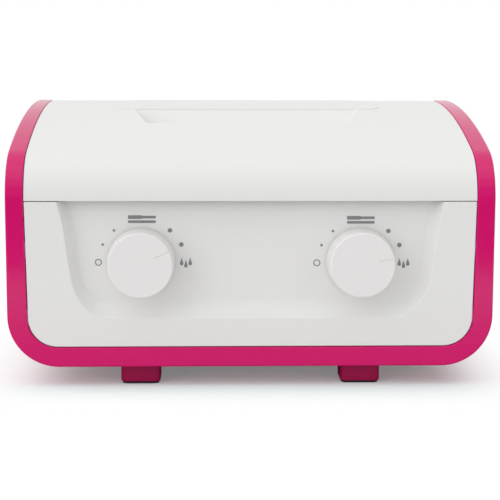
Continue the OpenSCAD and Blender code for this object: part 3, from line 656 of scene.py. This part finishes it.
def make_lid():
    low = LID_Z - 4
    lid = across("lid", side_outline(LID_INSET, LID_Z), -LID_HALF, LID_HALF)
    inner = LID_INSET + LID_T
    hollow = across("hollow", side_outline(inner, low), -LID_HALF + LID_T, LID_HALF - LID_T)
    cut(lid, hollow)
    tub = common(
        finger_well(LID_T), across("top", side_outline(LID_INSET + 0.4, LID_Z), -110, 110))
    fuse(lid, tub)
    well = finger_well(0)
    soften(well, lambda a, b: 2.0, 2.0, segments=3, sharp=50)
    cut(lid, well)

    def lid_edge(a, b):
        middle = (a + b) / 2
        if abs(middle.x) < 90 and 80 < middle.y < 139:
            return 1.0 if middle.z > WELL_FLOOR_Z + 4 else 0.0
        return 0.7 if abs(middle.x) > LID_HALF - 0.1 or middle.z < LID_Z + 0.1 else 0.0

    soften(lid, lid_edge, 1.0, segments=3, sharp=35)
    seat = common(
        upright("seat", grip_plan(0.02), BELOW, ABOVE),
        across("top", side_outline(LID_INSET - 3, LID_Z), -BESIDE, BESIDE))
    cut(seat, across("under", side_outline(LID_INSET + GRIP_SINK + 0.05, low), -BESIDE, BESIDE))
    cut(lid, seat)
    for side in (-1, 1):
        x = side * HINGE_X
        arm = block("arm", (x - HINGE_ARM, BODY_D - LID_INSET - 1, LID_Z),
                    (x + HINGE_ARM, HINGE_Y, HINGE_Z + HINGE_R))
        barrel = rod_across(HINGE_Y, HINGE_Z, x - HINGE_ARM, x + HINGE_ARM, HINGE_R)
        fuse(lid, arm, barrel)
        cut(lid, rod_across(HINGE_Y, HINGE_Z, x - HINGE_ARM - 4, x + HINGE_ARM + 4, HINGE_BORE))
        cut(lid, rod_upright(side * GRIP_SCREW_X, SCREW_DEPTH, BELOW, ABOVE, 3.6))
    lid.name = "lid_shell"
    piece(smooth(lid), "lid", "pearl_shell", look["pearl_shell"], "lid")


def lid_surface(depth):
    """Height of the lid's top at a depth between the two knees."""
    return TOP_Z + math.sqrt((TOP_R - LID_INSET) ** 2 - (depth - CREST_Y) ** 2)


def make_grip():
    grip = common(
        upright("grip", grip_plan(), BELOW, ABOVE),
        across("top", side_outline(LID_INSET - GRIP_RISE, LID_Z), -BESIDE, BESIDE))
    cut(grip, across("under", side_outline(LID_INSET + GRIP_SINK, LID_Z - 4), -BESIDE, BESIDE))

    def grip_edge(a, b):
        return GRIP_RISE if min(a.z, b.z) > lid_surface((a.y + b.y) / 2) else 0.1

    soften(grip, grip_edge, GRIP_RISE, segments=4, sharp=50)
    for side in (-1, 1):
        fuse(grip, rod_upright(side * GRIP_SCREW_X, SCREW_DEPTH, CREST_Z - 6, CREST_Z - 2, 3.5))
    grip.name = "lid_grip"
    piece(smooth(grip), "lid", "pearl_shell", look["pearl_shell"], "lid_handle")


make_lid()
make_grip()


# Knobs and dial marks

def make_knob(side, pointer):
    body = "knob_left" if side < 0 else "knob_right"
    front = -KNOB_REACH
    face_r = KNOB_FRONT_R - KNOB_EDGE
    edge = arc((face_r, front + KNOB_EDGE), KNOB_EDGE, -90, 0, 8)
    inner_r = KNOB_FRONT_R - KNOB_WALL
    bore_r, boss_r, boss_end = 3.03, 6.5, 5.5
    profile = [(0, front), *edge, (KNOB_R - 0.05, KNOB_BACK - 0.3), (KNOB_R - 0.3, KNOB_BACK),
               (inner_r, KNOB_BACK), (inner_r, front + 3), (boss_r, front + 3), (boss_r, boss_end),
               (bore_r, boss_end), (bore_r, front + 2.9), (0, front + 2.9)]
    knob = lathe(body + "_cap", profile, 128, (side * KNOB_X, KNOB_Z))
    turn = math.radians(pointer)

    def across_pointer(along, half, depth):
        """Two points on both sides of the pointer's line, at a distance from the knob's axis."""
        return [(side * KNOB_X + along * math.cos(turn) - over * math.sin(turn), depth,
                 KNOB_Z + along * math.sin(turn) + over * math.cos(turn)) for over in (-half, half)]

    # The groove is narrower at its inner end and at its bottom, and runs out past the rim
    tip, wide, narrow, outside = 0.3, 0.75, 0.32, KNOB_R + 1
    groove = []
    for along, half in ((GROOVE_START, tip), (GROOVE_START + 0.6, wide), (outside, wide)):
        groove += across_pointer(along, half, front - 0.02)
    for along in (GROOVE_START + 0.8, outside):
        groove += across_pointer(along, narrow, front + GROOVE_DEPTH)
    for along, half in ((GROOVE_START, tip), (outside, wide)):
        groove += across_pointer(along, half, front - 1)
    cut(knob, hull("groove", groove))
    piece(smooth(knob, 40), body, "knob_plastic", look["knob_plastic"], body)


make_knob(-1, LEFT_POINTER)
make_knob(1, RIGHT_POINTER)

# Each dial's marks stand round a point a little below and right of the knob's axis
MARK_CENTRES = {-1: (-76.4, 86.0), 1: (77.2, 85.4)}
MARK_R = 30.7
# Places of the dots as angles about that point, with their radii
DOTS = ((153.6, 0.95), (129.6, 0.95), (50.4, 1.6), (26.4, 1.6))
RING_ANGLE, RING_R, RING_BORE = 178, 2.5, 1.75
DROPS_ANGLE, DROP_HALF, DROP_H = 2, 1.25, 5.5
# The two bars: height above that point, thickness, and the step of the left half
BAR_HALF = 9.75
BARS = ((33.0, 2.6, 0.35), (29.8, 1.84, 0.0))


def bar_outline(x, z, half, thick, step):
    """A bar whose left half is thicker by a step on both sides, with blunt corners."""
    left = thick / 2
    right = left - step
    corner, taper = 0.4, 0.8
    return [(x - half + corner, z - left), (x - taper, z - left), (x + taper, z - right),
            (x + half - corner, z - right), (x + half, z - right + corner),
            (x + half, z + right - corner), (x + half - corner, z + right),
            (x + taper, z + right), (x - taper, z + left), (x - half + corner, z + left),
            (x - half, z + left - corner), (x - half, z - left + corner)]


def drop_outline(x, z, half, height):
    """A drop with its point up, about its middle."""
    low = z - height / 2 + half
    return [(x, z + height / 2), *arc((x, low), half, 158, 382, 18)]


def make_dial_marks(side):
    cx, cz = MARK_CENTRES[side]
    front, back = RECESS_FLOOR - 0.1, RECESS_FLOOR + 0.4

    def at(angle):
        a = math.radians(angle)
        return cx + MARK_R * math.cos(a), cz + MARK_R * math.sin(a)

    marks = [deep("mark", circle(at(angle), r, 24), front, back) for angle, r in DOTS]
    ring = deep("mark", circle(at(RING_ANGLE), RING_R, 32), front, back)
    cut(ring, deep("hole", circle(at(RING_ANGLE), RING_BORE, 32), front - 1, back + 1))
    marks.append(ring)
    for rise, thick, step in BARS:
        marks.append(deep("mark", bar_outline(cx, cz + rise, BAR_HALF, thick, step), front, back))
    x, z = at(DROPS_ANGLE)
    for dx, dz in ((-3.0, 0.5), (0, -1.1), (3.0, 0.5)):
        drop = drop_outline(x + dx, z + dz, DROP_HALF, DROP_H)
        marks.append(deep("mark", drop, front, back))
    first = marks[0]
    for mark in marks[1:]:
        fuse(first, mark)
    first.name = "dial_marks_left" if side < 0 else "dial_marks_right"
    first.data.materials.clear()
    first.data.materials.append(ink)
    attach(first, "root")


for side in (-1, 1):
    make_dial_marks(side)


# Feet and rear panel

def foot_plan(x, depth, inset=0.0):
    half = FOOT_W / 2 - inset
    return [(x + u, depth + v) for u, v in rounded_rectangle(half, half - 1, 4, 8)]


def foot_edge(a, b):
    return 0.9 if max(a.z, b.z) < PAD_T + 0.1 else 0.2


def make_foot(place, x, depth):
    foot = upright(f"foot_{place}_moulding", foot_plan(x, depth), PAD_T, FOOT_H)
    soften(foot, foot_edge, 0.9, segments=3, sharp=50)
    # The feet's rose is darkened as painted shade
    piece(smooth(foot), "root", "rose_shell", look["rose_foot_painted_shade"], f"foot_{place}")
    pad = upright(f"foot_pad_{place}_rubber", foot_plan(x, depth, 1), 0, PAD_T)
    soften(pad, lambda a, b: 0.3, 0.3, segments=2, sharp=50)
    piece(smooth(pad), "root", "rubber", look["rubber"], f"foot_pad_{place}")


for row, depth in zip(("front", "rear"), FOOT_YS):
    make_foot(row + "_left", -FOOT_X, depth)
    make_foot(row + "_right", FOOT_X, depth)


def rear_edge(a, b):
    return 0.5 if min(a.y, b.y) > REAR_FACE - 0.1 else 0.0


def make_knuckle(x0, x1):
    """One fixed knuckle of the lid's hinge, with its arm."""
    knuckle = rod_across(HINGE_Y, HINGE_Z, x0, x1, HINGE_R)
    fuse(knuckle, block("arm", (x0, REAR_FACE - 0.5, HINGE_Z - HINGE_R), (x1, HINGE_Y, LID_Z - 0.5)))
    cut(knuckle, rod_across(HINGE_Y, HINGE_Z, x0 - 2, x1 + 2, HINGE_BORE))
    soften(knuckle, lambda a, b: 0.3, 0.3, segments=2, sharp=50)
    return knuckle


def make_rear_panel():
    panel = deep("rear_panel_skin", opening_outline(GAP, PANEL_TOP), REAR_FACE - PANEL_T, REAR_FACE)
    vent_pitch, vent_z, gland_z, gland_r = 9, FOOT_H + 77, FOOT_H + 48, 7.0
    for side in (-1, 1):
        for i in range(-4, 5):
            x = side * WELL_X + i * vent_pitch
            slot = [(x + u, vent_z + v) for u, v in rounded_rectangle(2, 13, 1.9, 6)]
            cut(panel, deep("slot", slot, REAR_FACE - 5, REAR_FACE + 1))
    cut(panel, rod_deep(0, gland_z, REAR_FACE - 5, REAR_FACE + 1, gland_r))
    soften(panel, rear_edge, 0.5, segments=3, sharp=50)
    for side in (-1, 1):
        x = side * HINGE_X
        near, far = HINGE_ARM + 0.3, HINGE_ARM + 8.3
        fuse(panel, make_knuckle(x - far, x - near), make_knuckle(x + near, x + far))
    piece(smooth(panel), "root", "pearl_shell", look["pearl_shell"], "rear_panel")


make_rear_panel()


# Camera, light and floor

# The camera as fitted to the outline in the photograph: its place, its angles in degrees, and
# its focal length and shifts in pixels of a picture 500 pixels wide
CAMERA_PLACE = (-31.4, -989.1, 239.2)
CAMERA_AZIMUTH, CAMERA_ELEVATION, CAMERA_ROLL = -1.817, 8.291, 0.17
FOCAL_LENGTH, SHIFT_X, SHIFT_Y, PICTURE_SIZE = 1435, -1.33, 2.87, 500
SENSOR_W = 36


def make_camera():
    lens = bpy.data.cameras.new("camera")
    camera = new_object("camera", lens)
    azimuth, elevation = math.radians(CAMERA_AZIMUTH), math.radians(CAMERA_ELEVATION)
    back = Vector((math.sin(azimuth) * math.cos(elevation), -math.cos(azimuth) * math.cos(elevation),
                   math.sin(elevation)))
    camera.location = to_world(*CAMERA_PLACE)
    camera.rotation_mode = "QUATERNION"
    roll = Quaternion((0, 0, 1), math.radians(CAMERA_ROLL))
    camera.rotation_quaternion = (-back).to_track_quat("-Z", "Y") @ roll
    lens.sensor_width = SENSOR_W
    lens.lens = FOCAL_LENGTH / PICTURE_SIZE * SENSOR_W
    lens.shift_x = SHIFT_X / PICTURE_SIZE
    lens.shift_y = SHIFT_Y / PICTURE_SIZE
    lens.clip_start = 0.05
    bpy.context.scene.camera = camera


def add_sun(name, azimuth, elevation, strength, spread):
    """A soft distant lamp that isn't seen in reflections. Azimuth 0 is behind the camera and 90
    at the right."""
    lamp = bpy.data.lights.new(name, "SUN")
    lamp.energy = strength
    lamp.angle = math.radians(spread)
    obj = new_object(name, lamp)
    a, e = math.radians(azimuth), math.radians(elevation)
    away = Vector((math.sin(a) * math.cos(e), -math.cos(a) * math.cos(e), math.sin(e)))
    obj.rotation_mode = "QUATERNION"
    obj.rotation_quaternion = away.to_track_quat("Z", "Y")
    obj.visible_glossy = False


class Graph:
    """Short calls for the nodes of one node tree."""

    def __init__(self, tree):
        self.tree = tree
        self.link = tree.links.new

    def node(self, kind, **values):
        made = self.tree.nodes.new(kind)
        for name, value in values.items():
            setattr(made, name, value)
        return made

    def feed(self, socket, value):
        if isinstance(value, (int, float, tuple)):
            socket.default_value = value
        else:
            self.link(value, socket)

    def math(self, operation, a, b=0.0):
        made = self.node("ShaderNodeMath", operation=operation)
        self.feed(made.inputs[0], a)
        self.feed(made.inputs[1], b)
        return made.outputs[0]

    def ramp(self, value, low, high, at_low, at_high):
        """A soft step of a value from one level to another."""
        made = self.node("ShaderNodeMapRange", interpolation_type="SMOOTHSTEP")
        levels = {"Value": value, "From Min": low, "From Max": high,
                  "To Min": at_low, "To Max": at_high}
        for name, number in levels.items():
            self.feed(made.inputs[name], number)
        return made.outputs["Result"]

    def mix(self, factor, a, b):
        made = self.node("ShaderNodeMix")
        for i, value in ((0, factor), (NUMBER_A, a), (NUMBER_B, b)):
            self.feed(made.inputs[i], value)
        return made.outputs[NUMBER_OUT]

    def mix_colours(self, factor, a, b):
        made = self.node("ShaderNodeMix", data_type="RGBA")
        for i, value in ((0, factor), (COLOUR_A, a), (COLOUR_B, b)):
            self.feed(made.inputs[i], value)
        return made.outputs[COLOUR_OUT]

    def rays(self, kind):
        return self.node("ShaderNodeLightPath").outputs[f"Is {kind} Ray"]

    def place(self, coordinates):
        parts = self.node("ShaderNodeSeparateXYZ")
        self.link(self.node("ShaderNodeTexCoord").outputs[coordinates], parts.inputs[0])
        return [parts.outputs[axis] for axis in "XYZ"]


# Steps in the brightness of what is glossy sees ahead, by the height of the way that it looks in
ROOM_STEPS = ((0.15, 0.16), (0.5, 0.32), (0.75, 0.4), (0.92, 0.15))
STEP_BLUR = 0.06
REAR_LIGHT = 0.84


def make_world(strength):
    """Even light from all round and a white background. What is glossy sees soft boxes overhead and
    behind, and a dim room in front."""
    world = bpy.data.worlds.new("studio")
    bpy.context.scene.world = world
    world.use_nodes = True
    world.node_tree.nodes.clear()
    graph = Graph(world.node_tree)
    y, z = graph.place("Generated")[1:]
    room = 0.0
    for height, step in ROOM_STEPS:
        risen = graph.ramp(z, height - STEP_BLUR, height + STEP_BLUR, 0.0, step)
        room = graph.math("ADD", room, risen)
    ahead = graph.ramp(y, -0.3, 0.05, 1.0, 0.0)
    seen = graph.mix(ahead, REAR_LIGHT, room)
    shiny = graph.math("MAXIMUM", graph.rays("Glossy"), graph.rays("Transmission"))
    lit = graph.mix(shiny, strength, seen)
    light = graph.node("ShaderNodeBackground")
    light.inputs["Color"].default_value = (1, 1, 1, 1)
    graph.feed(light.inputs["Strength"], graph.mix(graph.rays("Camera"), lit, 1.0))
    graph.link(light.outputs[0], graph.node("ShaderNodeOutputWorld").inputs["Surface"])


# The floor in metres: its front and rear ends, half the object's footprint on it, and how far
# from there its painted counter-tint and the shadow reach
FLOOR_NEAR, FLOOR_FAR = -0.62, 12
FOOTPRINT_X, FOOTPRINT_Y = 0.131, 0.117
COUNTER_TINT_REACH, SHADOW_REACH = 0.07, 0.08
# Painted colour: a cool tint near the footprint, and the glow's cool colour, cancel the pink light
# bounced into the shadow
SHADOW_COUNTER_TINT, FLOOR_WHITE = (0.78, 0.91, 0.90, 1), (0.88, 0.88, 0.88, 1)
FLOOR_GLOW, GLOW_COLOUR = 0.185, (0.93, 1.0, 0.98, 1)


def make_floor():
    """A white floor that keeps the shadow near the object. Its front edge lies just outside the
    picture."""
    mesh = bpy.data.meshes.new("floor")
    corners = [(-FLOOR_FAR, FLOOR_NEAR, 0), (FLOOR_FAR, FLOOR_NEAR, 0),
               (FLOOR_FAR, FLOOR_FAR, 0), (-FLOOR_FAR, FLOOR_FAR, 0)]
    mesh.from_pydata(corners, [], [(0, 1, 2, 3)])
    floor = new_object("floor", mesh)
    made = bpy.data.materials.new("floor_paper")
    made.use_nodes = True
    graph = Graph(made.node_tree)
    shader = made.node_tree.nodes["Principled BSDF"]
    x, y = graph.place("Object")[:2]

    def gap_squared(place, half):
        """Square of the distance beyond the footprint along one axis."""
        beyond = graph.math("SUBTRACT", graph.math("ABSOLUTE", place), half)
        return graph.math("POWER", graph.math("MAXIMUM", beyond, 0.0), 2.0)

    away = graph.math(
        "SQRT", graph.math("ADD", gap_squared(x, FOOTPRINT_X), gap_squared(y, FOOTPRINT_Y)))
    camera = graph.rays("Camera")
    # Painted shade: what is glossy sees the floor darker near the object than far in front
    reflected_floor_shade = graph.ramp(graph.math("MULTIPLY", y, -1.0), 0.2, 0.55, 0.3, 0.95)
    paper = graph.mix(graph.rays("Glossy"), 0.8, reflected_floor_shade)
    # Painted colour near the footprint against the shell's pink bounce light in the shadow
    counter_tint = graph.mix_colours(
        graph.ramp(away, 0.0, COUNTER_TINT_REACH, 0.0, 1.0), SHADOW_COUNTER_TINT, FLOOR_WHITE)
    colour = graph.mix_colours(camera, paper, counter_tint)
    graph.link(colour, shader.inputs["Base Color"])
    shader.inputs["Roughness"].default_value = 0.9
    shader.inputs["Specular IOR Level"].default_value = 0.1
    shader.inputs["Emission Color"].default_value = GLOW_COLOUR
    graph.feed(shader.inputs["Emission Strength"], graph.math("MULTIPLY", camera, FLOOR_GLOW))
    white = graph.node("ShaderNodeEmission")
    both = graph.node("ShaderNodeMixShader")
    whitened = graph.math("MULTIPLY", camera, graph.ramp(away, 0.0, SHADOW_REACH, 0.0, 1.0))
    graph.feed(both.inputs[0], whitened)
    graph.link(shader.outputs[0], both.inputs[1])
    graph.link(white.outputs[0], both.inputs[2])
    graph.link(both.outputs[0], made.node_tree.nodes["Material Output"].inputs["Surface"])
    floor.data.materials.append(made)


make_camera()
make_world(0.64)
add_sun("overhead", 0, 88, 0.42, 60)
add_sun("key", -50, 15, 0.5, 40)
add_sun("upper_left", -50, 45, 0.27, 40)
add_sun("right", 50, 15, 0.13, 40)
add_sun("left", -100, 30, 0.42, 40)
make_floor()
bpy.context.scene.view_settings.view_transform = "Standard"
